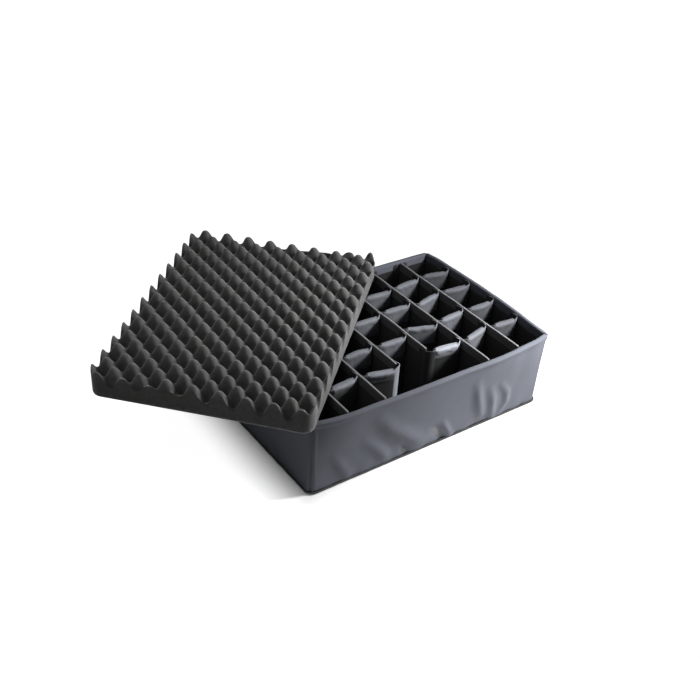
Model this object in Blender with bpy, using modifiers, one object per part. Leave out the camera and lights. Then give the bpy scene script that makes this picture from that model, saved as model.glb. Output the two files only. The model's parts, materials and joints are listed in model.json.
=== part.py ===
"""Padded divider tray for a hard case: a soft-walled tray on foam boards, long and short padded dividers held
by hook tabs, and a sheet of egg-crate foam laid across it at a slant. Metres, +Z up, origin under the tray's middle."""

import math

import bmesh
import bpy
from mathutils import Matrix, Vector

# Tray, measured outside from corner to corner at the rim. The walls draw in a little towards the foot.
TRAY_LENGTH = 0.4235
TRAY_DEPTH = 0.293
TRAY_HEIGHT = 0.123
WALL_LEAN = 0.002
RIM_CORNER_RADIUS = 0.008
FOOT_CORNER_RADIUS = 0.010
HEM_DEPTH = 0.014
BINDING_RADIUS = 0.0014

# The soft walls swell outwards between their corners, most at the rim and not at the foot. The swell is worked out at
# the stops, as shares of half a wall's straight part, and is straight between them.
FRONT_SWELL = 0.0105
RIGHT_SWELL = 0.0064
BACK_SWELL = 0.002
LONG_WALL_POWER = 6
END_WALL_POWER = 2
STOP_SHARES = (0, 0.45, 0.75, 0.9, 1)

# Layers of a wall and of the base, and the gap between pieces that touch.
COVER_CLOTH = 0.0008
WALL_FOAM = 0.0048
BASE_FOAM = 0.0048
LINING_CLOTH = 0.0008
GAP = 0.0003

# Long dividers run from front to back. Their tops stand a little under the rim.
LONG_COUNT = 6
FIRST_COLUMN_SHARE = 0.828
LAST_COLUMN_SHARE = 0.8854
LONG_THICKNESS = 0.0045
LONG_ROUNDING = 0.0018
DIVIDER_DROP = 0.002
END_TAB_WIDTH = 0.026
END_TAB_DROP = 0.0015
TAB_CLOTH = 0.0014

# Short dividers run across a column. A tab at each end curls back along what it is stuck to.
ROW_COUNT = 5
LAST_ROW_SHARE = 1.0543
SHORT_DROP = 0.001
CORE_THICKNESS = 0.009
CORE_END_THICKNESS = 0.0065
CORE_SETBACK = 0.0085
CROWN_DEPTH = 0.003
CROWN_TRIM = 0.0022
TAB_SWEEP = 0.010
TAB_REACH = 0.014
BULGE_ALONG_SHARE = 0.6
BULGE_THICKNESS_SHARE = 0.96
SHOULDER_DEPTH_SHARE = 0.35
SHOULDER_TRIM_SHARE = 0.3

# The dividers were stuck in by hand. For those that stand off their row, by column and row: how far the left and the
# right end stand behind it.
END_OFFSETS = {
    (2, 1): (-0.006, -0.002),
    (3, 1): (-0.004, -0.012),
    (3, 2): (-0.007, -0.008),
    (4, 2): (-0.009, -0.010),
    (5, 1): (-0.003, -0.006),
    (5, 2): (0.007, -0.008),
    (5, 3): (0.007, 0.004),
    (5, 4): (-0.001, -0.003),
    (6, 1): (-0.004, 0.006),
    (6, 2): (0.000, 0.004),
    (6, 3): (0.000, 0.008),
    (6, 4): (0.002, 0.004),
    (7, 1): (0.003, 0.001),
    (7, 2): (0.004, 0.003),
    (7, 3): (0.010, 0.005),
    (7, 4): (0.008, 0.001),
}

# In front two long dividers stop at the first row, where a short divider clasps each end. The middle column has no
# short divider in that row.
CLASPED_LONG = (3, 4)
CLASPED_ROW = 1

# Egg-crate pad. Nearest peaks are an inch apart, and the sheet is cut a little askew to its rows of peaks.
PAD_WIDTH = 0.300
PAD_LENGTH = 0.434
PAD_THICKNESS = 0.040
PAD_WEB = 0.018
PAD_CORNER_RADIUS = 0.016
PEAK_SPACING = 0.0254
PEAK_FROM_SIDE = 0.0164
PEAK_FROM_END = 0.001
ROW_SKEW = math.radians(-3.0)
FILE_SKEW = math.radians(-0.35)
PAD_TURN = math.radians(-47.1)
PAD_PAST_LEFT = 0.0117
PAD_PAST_FRONT = 0.0181

# Facets of round shapes, and how far a cutter runs past what it cuts.
CORNER_STEPS = 3
HEM_STEPS = 6
TAB_STEPS = 3
ROUNDING_STEPS = 2
PAD_CORNER_STEPS = 4
BINDING_RESOLUTION = 2
SPARE_ROWS = 3
OVERRUN = 0.004

WALL_THICKNESS = COVER_CLOTH + GAP + WALL_FOAM + GAP + LINING_CLOTH
LAYER_START = COVER_CLOTH + GAP
FOAM_TOP = LAYER_START + BASE_FOAM
BOARD_FOOT = FOAM_TOP + GAP
DIVIDER_FOOT = BOARD_FOOT + LINING_CLOTH + GAP
HEM_FOOT = TRAY_HEIGHT - HEM_DEPTH
LONG_TOP = TRAY_HEIGHT - DIVIDER_DROP
SHORT_TOP = LONG_TOP - SHORT_DROP
LONG_END_INSET = WALL_THICKNESS + GAP + TAB_CLOTH + GAP
COLUMN_PITCH = (TRAY_LENGTH - 2 * WALL_THICKNESS) / (LONG_COUNT - 1 + FIRST_COLUMN_SHARE + LAST_COLUMN_SHARE)
ROW_PITCH = (TRAY_DEPTH - 2 * WALL_THICKNESS) / (ROW_COUNT - 1 + LAST_ROW_SHARE)
CLASP_WIDTH = LONG_THICKNESS + 2 * GAP + TAB_CLOTH
HALF_PITCH = PEAK_SPACING / math.sqrt(2)
QUARTER_TURN = math.pi / 2
SIDES = ("front", "right", "back", "left")
SWELLS = {
    "front": (FRONT_SWELL, LONG_WALL_POWER),
    "right": (RIGHT_SWELL, END_WALL_POWER),
    "back": (BACK_SWELL, LONG_WALL_POWER),
    "left": (0, END_WALL_POWER),
}

NYLON = ((0.022, 0.022, 0.024), 0.45)
LINING = ((0.020, 0.020, 0.021), 0.90)
BOARD_FOAM = ((0.12, 0.12, 0.12), 0.95)
DIVIDER_CLOTH = ((0.060, 0.060, 0.062), 0.85)
TAB_COLOUR = ((0.035, 0.035, 0.036), 0.80)
EGG_CRATE = ((0.050, 0.047, 0.046), 0.95)


def clear_scene():
    for old in list(bpy.data.objects):
        bpy.data.objects.remove(old, do_unlink=True)


def new_collection(name):
    collection = bpy.data.collections.new(name)
    bpy.context.scene.collection.children.link(collection)
    return collection


def new_material(name, finish):
    colour, roughness = finish
    material = bpy.data.materials.new(name)
    material.use_nodes = True
    shader = material.node_tree.nodes["Principled BSDF"]
    shader.inputs["Base Color"].default_value = (*colour, 1.0)
    shader.inputs["Roughness"].default_value = roughness
    shader.inputs["Metallic"].default_value = 0.0
    return material


def add_mesh(name, bm, finish, smooth=False):
    """Turn a bmesh into an object of the tray with its own material."""
    bmesh.ops.recalc_face_normals(bm, faces=bm.faces)
    mesh = bpy.data.meshes.new(name)
    bm.to_mesh(mesh)
    bm.free()
    if smooth:
        mesh.shade_smooth()
        mesh.set_sharp_from_angle(angle=math.radians(40))
    mesh.materials.append(new_material(name, finish))
    made = bpy.data.objects.new(name, mesh)
    PARTS.objects.link(made)
    return made


def join_rows(bm, row, after):
    """Join two rows by triangles whose diagonals fall away from the middle, so that a swollen wall stays convex."""
    low, high = (row, after) if row[0].co.z <= after[0].co.z else (after, row)
    for i in range(len(row) - 1):
        foot, top = (low[i], high[i + 1]) if 2 * i < len(row) - 1 else (low[i + 1], high[i])
        bm.faces.new((low[i], low[i + 1], top))
        bm.faces.new((foot, high[i + 1], high[i]))


def sweep(name, section, line, finish, smooth=False):
    """Loft a closed section. Each of its points becomes the row of points that line gives for it."""
    bm = bmesh.new()
    rows = [[bm.verts.new(p) for p in line(*point)] for point in section]
    for row, after in zip(rows, rows[1:] + rows[:1]):
        join_rows(bm, row, after)
    bm.faces.new([row[0] for row in rows])
    bm.faces.new([row[-1] for row in rows])
    return add_mesh(name, bm, finish, smooth)


def stack(name, outlines, finish, smooth=False):
    """Loft plan outlines upwards. Each is given with its height, and the lowest and highest are capped."""
    bm = bmesh.new()
    rings = [[bm.verts.new((x, y, z)) for x, y in outline] for z, outline in outlines]
    for ring, above in zip(rings, rings[1:]):
        for i in range(len(ring)):
            bm.faces.new((ring[i - 1], ring[i], above[i], above[i - 1]))
    bm.faces.new(rings[0])
    bm.faces.new(rings[-1])
    return add_mesh(name, bm, finish, smooth)


def lean(z):
    """How far the outer faces have drawn in at height z."""
    return WALL_LEAN * (TRAY_HEIGHT - z) / TRAY_HEIGHT


def half_length(z, inset):
    return TRAY_LENGTH / 2 - lean(z) - inset


def half_depth(z, inset):
    return TRAY_DEPTH / 2 - lean(z) - inset


def corner_radius(z, inset):
    """The corners grow rounder towards the foot, and tighter towards the inside of the wall."""
    growth = (FOOT_CORNER_RADIUS - RIM_CORNER_RADIUS) * (TRAY_HEIGHT - z) / TRAY_HEIGHT
    return RIM_CORNER_RADIUS + growth - inset


def arc(centre, radius, start, end, steps):
    """Points of a plan arc, both ends included."""
    angles = [start + (end - start) * i / steps for i in range(steps + 1)]
    return [(centre[0] + radius * math.cos(a), centre[1] + radius * math.sin(a)) for a in angles]


def rounded_rectangle(half_x, half_y, radius, steps):
    """Outline of a rounded rectangle about the origin, counter-clockwise."""
    points = []
    for index, (right, back) in enumerate(((1, 1), (-1, 1), (-1, -1), (1, -1))):
        centre = (right * (half_x - radius), back * (half_y - radius))
        points += arc(centre, radius, index * QUARTER_TURN, (index + 1) * QUARTER_TURN, steps)
    return points


def side_spans(side, z, inset):
    """Half the length of a wall, and its distance from the middle of the tray."""
    spans = (half_length(z, inset), half_depth(z, inset))
    return spans if side in ("front", "back") else spans[::-1]


def half_straight(side, z):
    """Half the length of a wall's straight part, the same for all of its layers."""
    return side_spans(side, z, 0)[0] - corner_radius(z, 0)


def swell(side, along, z):
    """How far a wall stands out past its corners, at a place along it counted from its middle and at a height."""
    depth, power = SWELLS[side]
    share = min(abs(along) / half_straight(side, z), 1)
    before, after = next(pair for pair in zip(STOP_SHARES, STOP_SHARES[1:]) if share <= pair[1])
    nearer, farther = 1 - before**power, 1 - after**power
    between = nearer + (farther - nearer) * (share - before) / (after - before)
    return depth * between * z / TRAY_HEIGHT


def stops(side, z):
    """Places of the stops along a wall, without the two ends of its straight part."""
    places = [share * half_straight(side, z) for share in STOP_SHARES[:-1]]
    return [-place for place in places[:0:-1]] + places


def turned(side, points, z):
    """Plan points of the front wall turned onto another wall, at height z, and moved out by that wall's swell."""
    turn = Matrix.Rotation(SIDES.index(side) * QUARTER_TURN, 3, "Z")
    return [turn @ Vector((x, y - swell(side, x, z), z)) for x, y in points]


def wall_line(side, z, inset, seam=0):
    """Line of a wall from the middle of one corner to the next, moved in by the inset and ended half a seam short."""
    across, out = side_spans(side, z, inset)
    radius = corner_radius(z, inset)
    reach = QUARTER_TURN / 2 - math.asin(seam / 2 / radius)
    front = -QUARTER_TURN
    left = arc((radius - across, radius - out), radius, front - reach, front, CORNER_STEPS)
    right = arc((across - radius, radius - out), radius, front, front + reach, CORNER_STEPS)
    straight = [(x, -out) for x in stops(side, z)]
    return turned(side, left + straight + right, z)


def tray_outline(z, inset):
    """Outline of the tray at a height, moved in by the inset, counter-clockwise."""
    return [(point.x, point.y) for side in SIDES for point in wall_line(side, z, inset)[:-1]]


def wall_y(end, x, z, inset):
    """Where a layer of the front or back wall stands, at a place across the tray and a height."""
    facing = -1 if end == "front" else 1
    return facing * (half_depth(z, inset) + swell(end, x, z))


def over_rim(radius):
    """Heights and insets of a half circle over the top of a wall, from its outer side to its inner one."""
    middle = WALL_THICKNESS / 2
    angles = [math.pi * step / HEM_STEPS for step in range(HEM_STEPS + 1)]
    return [(TRAY_HEIGHT - middle + radius * math.sin(a), middle - radius * math.cos(a)) for a in angles]


def make_cover_panel(side):
    """Nylon panel of one wall, folded over the rim and hemmed inside, with a seam at each corner."""

    def line(z, inset):
        return wall_line(side, z, inset, GAP)

    outer = [(LAYER_START, 0), (HEM_FOOT, 0), *over_rim(WALL_THICKNESS / 2), (HEM_FOOT, WALL_THICKNESS)]
    inner = [(LAYER_START, COVER_CLOTH), (HEM_FOOT, COVER_CLOTH), *over_rim(WALL_THICKNESS / 2 - COVER_CLOTH)]
    inner.append((HEM_FOOT, WALL_THICKNESS - COVER_CLOTH))
    sweep(f"{side}_cover_panel", outer + inner[::-1], line, NYLON, smooth=True)


def make_foam_board(side):
    """Foam board of one wall, from one round corner to the next, with a rounded top under the hem."""

    def line(z, inset):
        out = side_spans(side, z, inset)[1]
        end = half_straight(side, z) - GAP
        return turned(side, [(x, -out) for x in (-end, *stops(side, z), end)], z)

    outer = [(BOARD_FOOT, LAYER_START), (HEM_FOOT, LAYER_START)]
    inner = [(z, inset + WALL_FOAM) for z, inset in outer]
    section = outer + over_rim(WALL_FOAM / 2) + inner[::-1]
    sweep(f"{side}_foam_board", section, line, BOARD_FOAM, smooth=True)


def make_base():
    """Bottom cloth, the binding sewn round its edge, and the foam under the floor."""
    skin = [(z, tray_outline(0, 0)) for z in (0, COVER_CLOTH)]
    stack("bottom_skin", skin, NYLON)
    foam = [(z, tray_outline(z, LAYER_START)) for z in (LAYER_START, FOAM_TOP)]
    stack("floor_foam", foam, BOARD_FOAM)

    height = GAP + BINDING_RADIUS
    curve = bpy.data.curves.new("bottom_binding", "CURVE")
    curve.dimensions = "3D"
    curve.bevel_depth = BINDING_RADIUS
    curve.bevel_resolution = BINDING_RESOLUTION
    path = tray_outline(height, -height)
    spline = curve.splines.new("POLY")
    spline.points.add(len(path) - 1)
    for point, (x, y) in zip(spline.points, path):
        point.co = (x, y, height, 1)
    spline.use_cyclic_u = True
    curve.materials.append(new_material("bottom_binding", NYLON))
    PARTS.objects.link(bpy.data.objects.new("bottom_binding", curve))


def make_lining():
    """Loop cloth over the floor and up the walls to the hem, one folded sheet."""
    bm = bmesh.new()
    inset = WALL_THICKNESS - LINING_CLOTH
    levels = (BOARD_FOOT, HEM_FOOT - GAP)
    low, high = [[bm.verts.new((x, y, z)) for x, y in tray_outline(z, inset)] for z in levels]
    bm.faces.new(low)
    per_side = len(low) // len(SIDES)
    for index in range(len(SIDES)):
        part = [(index * per_side + i) % len(low) for i in range(per_side + 1)]
        join_rows(bm, [low[i] for i in part], [high[i] for i in part])
    lining = add_mesh("loop_lining", bm, LINING)
    cloth = lining.modifiers.new("cloth", "SOLIDIFY")
    cloth.thickness = LINING_CLOTH
    cloth.offset = -1
    cloth.use_even_offset = True


def long_x(number):
    """Where a long divider stands, counted from the left."""
    return WALL_THICKNESS - TRAY_LENGTH / 2 + (number - 1 + FIRST_COLUMN_SHARE) * COLUMN_PITCH


def row_y(row):
    """Where a row of short dividers stands, counted from the front."""
    return WALL_THICKNESS - TRAY_DEPTH / 2 + row * ROW_PITCH


def end_offsets(column, row):
    """How far a short divider's left and right end stand behind its row."""
    return END_OFFSETS.get((column, row), (0, 0))


def clasped_front(number):
    """Front end of a clasped long divider, where its corner meets the curve of the tab that wraps it."""
    on_left = number == CLASPED_LONG[0]
    offset = end_offsets(number, CLASPED_ROW)[1] if on_left else end_offsets(number + 1, CLASPED_ROW)[0]
    across = CORE_SETBACK + GAP + LONG_THICKNESS + GAP
    share = across / (CORE_SETBACK + CLASP_WIDTH - TAB_CLOTH)
    curve = (TAB_SWEEP - TAB_CLOTH) * math.sqrt(max(0, 1 - share * share))
    return row_y(CLASPED_ROW) + offset - CORE_END_THICKNESS / 2 + TAB_SWEEP - curve


def make_long_divider(number):
    """Stiff padded slab from wall to wall, with a plate of hook cloth across each end that meets a wall."""
    name = f"long_divider_{number}"
    half = LONG_THICKNESS / 2
    top = arc((half - LONG_ROUNDING, LONG_TOP - LONG_ROUNDING), LONG_ROUNDING, 0, QUARTER_TURN, ROUNDING_STEPS)
    right = [(DIVIDER_FOOT, half)] + [(z, x) for x, z in top]
    section = right + [(z, -x) for z, x in right[::-1]]

    def line(z, across):
        x = long_x(number) + across
        back = wall_y("back", x, z, LONG_END_INSET)
        front = clasped_front(number) if number in CLASPED_LONG else wall_y("front", x, z, LONG_END_INSET)
        return [(across, front, z), (across, back, z)]

    divider = sweep(name, section, line, DIVIDER_CLOTH, smooth=True)
    divider.location.x = long_x(number)

    for end in ("front", "back"):
        if end == "front" and number in CLASPED_LONG:
            continue

        def tab_line(z, inset, end=end):
            places = (-END_TAB_WIDTH / 2, 0, END_TAB_WIDTH / 2)
            return [(x, wall_y(end, long_x(number) + x, z, inset), z) for x in places]

        tab_top = LONG_TOP - END_TAB_DROP
        outer = WALL_THICKNESS + GAP
        inner = outer + TAB_CLOTH
        plate = [(DIVIDER_FOOT, outer), (tab_top, outer), (tab_top, inner), (DIVIDER_FOOT, inner)]
        tab = sweep(f"{name}_{end}_tab", plate, tab_line, TAB_COLOUR)
        tab.parent = divider


def tab_outline(core_end, outer):
    """One end of a short divider, from the core's front corner out round the tab and back to the core."""
    middle_y = TAB_SWEEP - CORE_END_THICKNESS / 2
    tip_y = CORE_THICKNESS / 2 + TAB_REACH

    def curve(cloth):
        """A quarter of an ellipse, from the core to where the tab lies flat."""
        unit = arc((0, 0), 1, -QUARTER_TURN, 0, TAB_STEPS)
        width = outer - core_end - cloth
        return [(core_end + width * x, middle_y + (TAB_SWEEP - cloth) * y) for x, y in unit]

    return curve(0) + [(outer, tip_y), (outer - TAB_CLOTH, tip_y)] + curve(TAB_CLOTH)[::-1]


def short_outline(left, right, trim):
    """Plan outline of a short divider. Each side is given as the core's half length and the tab's outer face."""
    half = CORE_THICKNESS / 2 - trim
    bulge = BULGE_THICKNESS_SHARE * CORE_THICKNESS / 2 - trim
    corner = CORE_END_THICKNESS / 2 - trim

    def side(core_end, outer):
        along = BULGE_ALONG_SHARE * core_end
        return [(along, -bulge), *tab_outline(core_end, outer), (core_end, corner), (along, bulge)]

    mirrored = [(-x, y) for x, y in side(*left)[::-1]]
    return [(0, -half), *side(*right), (0, half), *mirrored]


def make_short_divider(column, row):
    """Padded divider across one column, with a rounded crown and a tab at each end."""
    left_x = long_x(column - 1)
    right_x = long_x(column)
    reach = LONG_THICKNESS / 2 + GAP
    end_x = half_length(TRAY_HEIGHT, WALL_THICKNESS + GAP)
    low_x = -end_x if column == 1 else left_x + reach
    high_x = end_x if column == LONG_COUNT + 1 else right_x - reach
    middle = (low_x + high_x) / 2
    half = (high_x - low_x) / 2
    clasps = row == CLASPED_ROW
    offsets = end_offsets(column, row)

    def side(z, at_wall, clasping):
        inner = half - lean(z) if at_wall else half
        return inner - CORE_SETBACK, inner + CLASP_WIDTH if clasping else inner

    def askew(points, low, high):
        """The core runs straight from one end's offset to the other's, and the tabs move with its ends."""
        shares = [min(max((x - low) / (high - low), 0), 1) for x, _ in points]
        return [(x, y + offsets[0] + (offsets[1] - offsets[0]) * share) for (x, y), share in zip(points, shares)]

    def outline(z, trim):
        left = side(z, column == 1, clasps and column - 1 == CLASPED_LONG[1])
        right = side(z, column == LONG_COUNT + 1, clasps and column == CLASPED_LONG[0])
        points = askew(short_outline(left, right, trim), -left[0], right[0])
        if column <= LONG_COUNT:
            return points
        return [(x + (swell("right", row_y(row) + y, z) if x >= right[0] else 0), y) for x, y in points]

    levels = (
        (DIVIDER_FOOT, 0),
        (SHORT_TOP - CROWN_DEPTH, 0),
        (SHORT_TOP - SHOULDER_DEPTH_SHARE * CROWN_DEPTH, SHOULDER_TRIM_SHARE * CROWN_TRIM),
        (SHORT_TOP, CROWN_TRIM),
    )
    rings = [(z, outline(z, trim)) for z, trim in levels]
    divider = stack(f"short_divider_c{column}_r{row}", rings, DIVIDER_CLOTH, smooth=True)
    divider.location = (middle, row_y(row), 0)


def make_pad():
    """Egg-crate foam: a grid of peaks and valleys with a saddle in each cell, cut to a rounded rectangle."""
    across = math.ceil(PAD_WIDTH / HALF_PITCH) + 2 * SPARE_ROWS
    along = math.ceil(PAD_LENGTH / HALF_PITCH) + 2 * SPARE_ROWS
    bm = bmesh.new()
    bmesh.ops.create_grid(bm, x_segments=across, y_segments=along, size=1)
    for vert in bm.verts:
        i = round((vert.co.x - 1) / 2 * across) + SPARE_ROWS
        j = round((vert.co.y + 1) / 2 * along) - SPARE_ROWS
        x = HALF_PITCH * (i * math.cos(ROW_SKEW) - j * math.sin(FILE_SKEW)) - PEAK_FROM_SIDE
        y = HALF_PITCH * (i * math.sin(ROW_SKEW) + j * math.cos(FILE_SKEW)) + PEAK_FROM_END
        vert.co = (x, y, PAD_WEB if (i + j) % 2 else PAD_THICKNESS)
    bmesh.ops.poke(bm, faces=bm.faces)
    rim = [edge for edge in bm.edges if edge.is_boundary]
    grown = bmesh.ops.extrude_edge_only(bm, edges=rim)["geom"]
    for vert in grown:
        if isinstance(vert, bmesh.types.BMVert):
            vert.co.z = 0
    foot = [edge for edge in grown if isinstance(edge, bmesh.types.BMEdge) and edge.is_boundary]
    bmesh.ops.edgeloop_fill(bm, edges=foot)
    pad = add_mesh("egg_crate_pad", bm, EGG_CRATE)

    blank = rounded_rectangle(PAD_WIDTH / 2, PAD_LENGTH / 2, PAD_CORNER_RADIUS, PAD_CORNER_STEPS)
    shifted = [(x - PAD_WIDTH / 2, y + PAD_LENGTH / 2) for x, y in blank]
    cutter = stack("pad_blank", [(-OVERRUN, shifted), (PAD_THICKNESS + OVERRUN, shifted)], EGG_CRATE)
    PARTS.objects.unlink(cutter)
    CUTTERS.objects.link(cutter)
    cutter.hide_render = True
    cutter.display_type = "WIRE"

    for piece in (pad, cutter):
        piece.location = (
            -TRAY_LENGTH / 2 - PAD_PAST_LEFT,
            -TRAY_DEPTH / 2 - PAD_PAST_FRONT,
            TRAY_HEIGHT + GAP,
        )
        piece.rotation_euler.z = PAD_TURN
    cut = pad.modifiers.new("cut to size", "BOOLEAN")
    cut.operation = "INTERSECT"
    cut.solver = "EXACT"
    cut.object = cutter


clear_scene()
PARTS = new_collection("case_divider")
CUTTERS = new_collection("cutters")
make_base()
for wall in SIDES:
    make_cover_panel(wall)
    make_foam_board(wall)
make_lining()
for long_number in range(1, LONG_COUNT + 1):
    make_long_divider(long_number)
for column_number in range(1, LONG_COUNT + 2):
    for row_number in range(1, ROW_COUNT):
        open_place = row_number == CLASPED_ROW and column_number == CLASPED_LONG[1]
        if not open_place:
            make_short_divider(column_number, row_number)
make_pad()
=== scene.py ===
import json
import math

import bmesh
import bpy
import numpy as np
from mathutils import Matrix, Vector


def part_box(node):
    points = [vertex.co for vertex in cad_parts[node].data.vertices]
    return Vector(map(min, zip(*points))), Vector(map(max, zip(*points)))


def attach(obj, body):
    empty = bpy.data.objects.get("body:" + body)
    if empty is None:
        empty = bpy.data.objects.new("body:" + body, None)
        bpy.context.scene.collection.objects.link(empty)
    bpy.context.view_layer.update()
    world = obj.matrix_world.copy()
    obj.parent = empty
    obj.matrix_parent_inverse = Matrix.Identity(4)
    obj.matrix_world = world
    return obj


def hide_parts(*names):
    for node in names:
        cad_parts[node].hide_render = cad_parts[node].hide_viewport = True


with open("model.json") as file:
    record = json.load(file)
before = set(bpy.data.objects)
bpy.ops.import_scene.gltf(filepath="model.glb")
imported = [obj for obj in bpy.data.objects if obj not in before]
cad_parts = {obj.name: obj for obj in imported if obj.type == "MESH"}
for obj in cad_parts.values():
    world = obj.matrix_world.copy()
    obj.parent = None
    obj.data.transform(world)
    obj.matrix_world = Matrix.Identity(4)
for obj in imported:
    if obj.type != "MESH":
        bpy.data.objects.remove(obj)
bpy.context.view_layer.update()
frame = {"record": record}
print("frame loaded")

bodyOf = {}
for bodyName, nodeNames in frame["record"]["behaviour"]["bodies"].items():
    bodyOf.update(dict.fromkeys(nodeNames, bodyName))

# Sizes in metres. The walls draw in by lean from the rim to the foot and swell outwards between the corners.
# waves adds bumps to that swell: place along the wall, half width, height.
tray = dict(length=0.4235, depth=0.293, height=0.123, lean=0.002, rimCorner=0.008, footCorner=0.010, wall=0.007,
            cloth=0.0008, gap=0.0003, hem=0.014)
swell = dict(front=0.0105, right=0.0064, back=0.002, left=0.0)
swellPower = dict(front=6, right=2, back=6, left=2)
waves = dict(front=[(-0.112, 0.035, -0.0016), (0.098, 0.030, 0.0008), (0.160, 0.016, -0.0012)],
             right=[(-0.105, 0.022, -0.0010), (0.118, 0.020, 0.0010)], back=[(0.05, 0.05, -0.0006)], left=[])
rimZ = tray["height"]
sideNames = ["front", "right", "back", "left"]


def gridCells(rows, columns, wrap):
    # Row and column of the four corners of each cell of a grid; wrap adds cells from the last column to the first
    i, j = np.meshgrid(np.arange(rows - 1), np.arange(columns if wrap else columns - 1), indexing="ij")
    return np.stack([i, i, i + 1, i + 1], -1).reshape(-1, 4), np.stack([j, j + 1, j + 1, j], -1).reshape(-1, 4)


def clamp(numbers):
    return np.clip(numbers, 0, 1)


def faceOutwards(mesh, weld=0.0):
    # Points closer than weld become one, and the faces turn to point outwards
    shell = bmesh.new()
    shell.from_mesh(mesh)
    if weld:
        bmesh.ops.remove_doubles(shell, verts=shell.verts, dist=weld)
    bmesh.ops.recalc_face_normals(shell, faces=shell.faces)
    shell.to_mesh(mesh)
    shell.free()


def addValues(mesh, values):
    for key, numbers in values.items():
        attribute = mesh.attributes.new(key, "FLOAT", "POINT")
        attribute.data.foreach_set("value", numbers.astype(np.float32).ravel())


def finishPiece(name, mesh, material, sharp, replaced):
    # Edges sharper than that many degrees stay hard
    mesh.shade_smooth()
    if sharp:
        mesh.set_sharp_from_angle(angle=math.radians(sharp))
    mesh.materials.append(material)
    piece = bpy.data.objects.new(name, mesh)
    bpy.context.scene.collection.objects.link(piece)
    if replaced:
        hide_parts(replaced)
    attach(piece, bodyOf.get(replaced, "tray"))
    return piece


def surfacePiece(name, points, material, replaced=None, *, along, across, ends=None, values=None, sharp=0):
    # points is rows x columns x 3, along and across in metres become the UV map, and the material reads values.
    # ends lets the rows run round, and says how many end rows are closed
    rows, columns = points.shape[:2]
    row, column = gridCells(rows, columns, ends is not None)
    quads = row * columns + column % columns
    lids = [np.arange(columns)[::-1], np.arange(columns) + (rows - 1) * columns][:ends or 0]
    flat = points.reshape(-1, 3)
    mesh = bpy.data.meshes.new(name)
    mesh.from_pydata(flat.tolist(), [], quads.tolist() + [lid.tolist() for lid in lids])
    uv = np.stack([across[column], along[row]], -1).reshape(-1, 2)
    uv = np.concatenate([uv] + [flat[lid, :2] for lid in lids])
    layer = mesh.uv_layers.new(name="UVMap")
    layer.data.foreach_set("uv", uv.astype(np.float32).ravel())
    addValues(mesh, values or {})
    if ends == 2:  # turn a closed shell right side out
        a, b, c, d = (flat[quads[:, n]] for n in range(4))
        if np.einsum("ij,ij->i", a, np.cross(b, c) + np.cross(c, d)).sum() < 0:
            mesh.flip_normals()
    return finishPiece(name, mesh, material, sharp, replaced)


def thicken(piece, thickness):
    layer = piece.modifiers.new("cloth", "SOLIDIFY")
    layer.thickness = thickness
    layer.offset = -1


def ripple(x, y, seed, size, count=9):
    # Sum of sine waves in seeded directions, between about -1 and 1, from one to three sizes long
    draw = np.random.default_rng(seed)
    total = np.zeros(np.broadcast(x, y).shape)
    for _ in range(count):
        turn, phase, stretch = draw.uniform(0, 2 * np.pi), draw.uniform(0, 2 * np.pi), draw.uniform(1, 3)
        total += np.sin((x * np.cos(turn) + y * np.sin(turn)) * 2 * np.pi / (size * stretch) + phase)
    return total / np.sqrt(count * 2)


def walkAlong(x, y):
    # Distance walked along a line, at each of its points
    return np.r_[0, np.cumsum(np.hypot(np.diff(x), np.diff(y)))]


def turned(turn, x, y):
    return x * np.cos(turn) - y * np.sin(turn), x * np.sin(turn) + y * np.cos(turn)


def setInputs(tree, node, inputs):
    for key, value in inputs.items():
        if isinstance(value, bpy.types.NodeSocket):
            tree.links.new(value, node.inputs[key])
        else:
            node.inputs[key].default_value = value


def addNode(tree, kind, inputs=None, **settings):
    node = tree.nodes.new("ShaderNode" + kind)
    for key, value in settings.items():
        setattr(node, key, value)
    setInputs(tree, node, inputs or {})
    return node


def mathNode(tree, operation, first, second=0.0):
    return addNode(tree, "Math", {0: first, 1: second}, operation=operation).outputs[0]


def noise(tree, scale, detail, roughness=0.5):
    place = addNode(tree, "TexCoord").outputs["Object"]
    settings = {"Vector": place, "Scale": scale, "Detail": detail, "Roughness": roughness}
    return addNode(tree, "TexNoise", settings).outputs["Fac"]


def twoColours(tree, factor, dark, light):
    ramp = addNode(tree, "ValToRGB", {"Fac": factor})
    ramp.color_ramp.elements[0].color = (*dark, 1)
    ramp.color_ramp.elements[1].color = (*light, 1)
    return ramp.outputs["Color"]


def seenRays(tree):
    # 1 for what is seen, straight, in gloss or through glass, and 0 for light that falls on things
    path = addNode(tree, "LightPath").outputs
    glossed = mathNode(tree, "MAXIMUM", path["Is Camera Ray"], path["Is Glossy Ray"])
    return mathNode(tree, "MAXIMUM", glossed, path["Is Transmission Ray"])


def newMaterial(name, roughness, sheen, sheenRoughness, specular):
    material = bpy.data.materials.new(name)
    material.use_nodes = True
    tree = material.node_tree
    shader = tree.nodes["Principled BSDF"]
    setInputs(tree, shader, {"Roughness": roughness, "Sheen Weight": sheen, "Sheen Roughness": sheenRoughness,
                             "Specular IOR Level": specular})
    return material, tree, shader


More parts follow.
